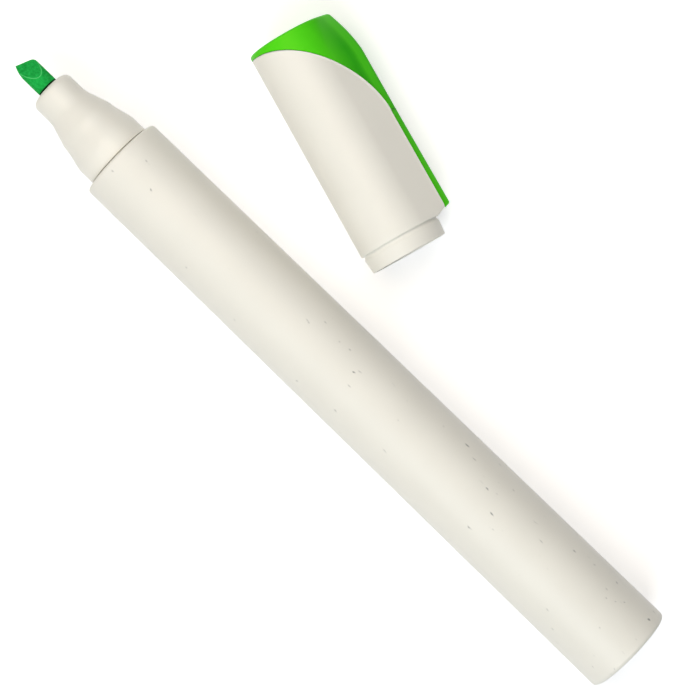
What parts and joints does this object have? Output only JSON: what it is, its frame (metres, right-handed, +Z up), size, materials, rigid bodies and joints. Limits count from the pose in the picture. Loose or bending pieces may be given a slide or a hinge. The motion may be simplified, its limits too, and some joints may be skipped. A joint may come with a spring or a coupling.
{
  "type": "felt tip marker",
  "caption": "Round white felt tip marker with a green chisel nib, lying beside its pulled-off cap, which has a green sweeping crown and clip.",
  "frame": {"origin": "on the surface that the marker and its cap lie on, under the middle of their common footprint", "axes": "+X along the marker from nib to tail, +Y towards the side where the cap lies, +Z up"},
  "size_m": [0.1368, 0.0482, 0.0159],
  "materials": {
    "barrel_plastic": "satin moulded polypropylene, warm white",
    "cap_plastic": "satin moulded polypropylene, warm white",
    "nose_plastic": "smooth moulded polypropylene, warm white",
    "seal_plastic": "smooth moulded polyethylene, natural white",
    "crown_plastic": "smooth moulded polypropylene, bright green",
    "nib_felt": "bonded polyester fibre, soaked with green ink",
    "reservoir_fibre": "loose polyester fibre bundle, soaked with green ink",
    "reservoir_film": "thin clear film wrap"
  },
  "bodies": {
    "marker": {"barrel": "barrel_plastic", "nose_section": "nose_plastic", "nib": "nib_felt", "ink_reservoir": "reservoir_fibre", "reservoir_sleeve": "reservoir_film"},
    "cap": {"cap_shell": "cap_plastic", "cap_crown": "crown_plastic", "cap_inner_seal": "seal_plastic"},
    "clip": {"cap_clip": "crown_plastic"}
  },
  "joints": [
    {"name": "cap_pull", "type": "slide", "parent": "marker", "child": "cap", "axis": [-0.9593, 0.2823, 0], "range_m": [0, 0.02275]},
    {"name": "clip_flex", "type": "hinge", "parent": "cap", "child": "clip", "pos_m": [-0.01983, 0.02024, 0.00712], "axis": [0, 0, 1], "range_deg": [0, 3], "stiffness_Nm_per_rad": 1}
  ]
}
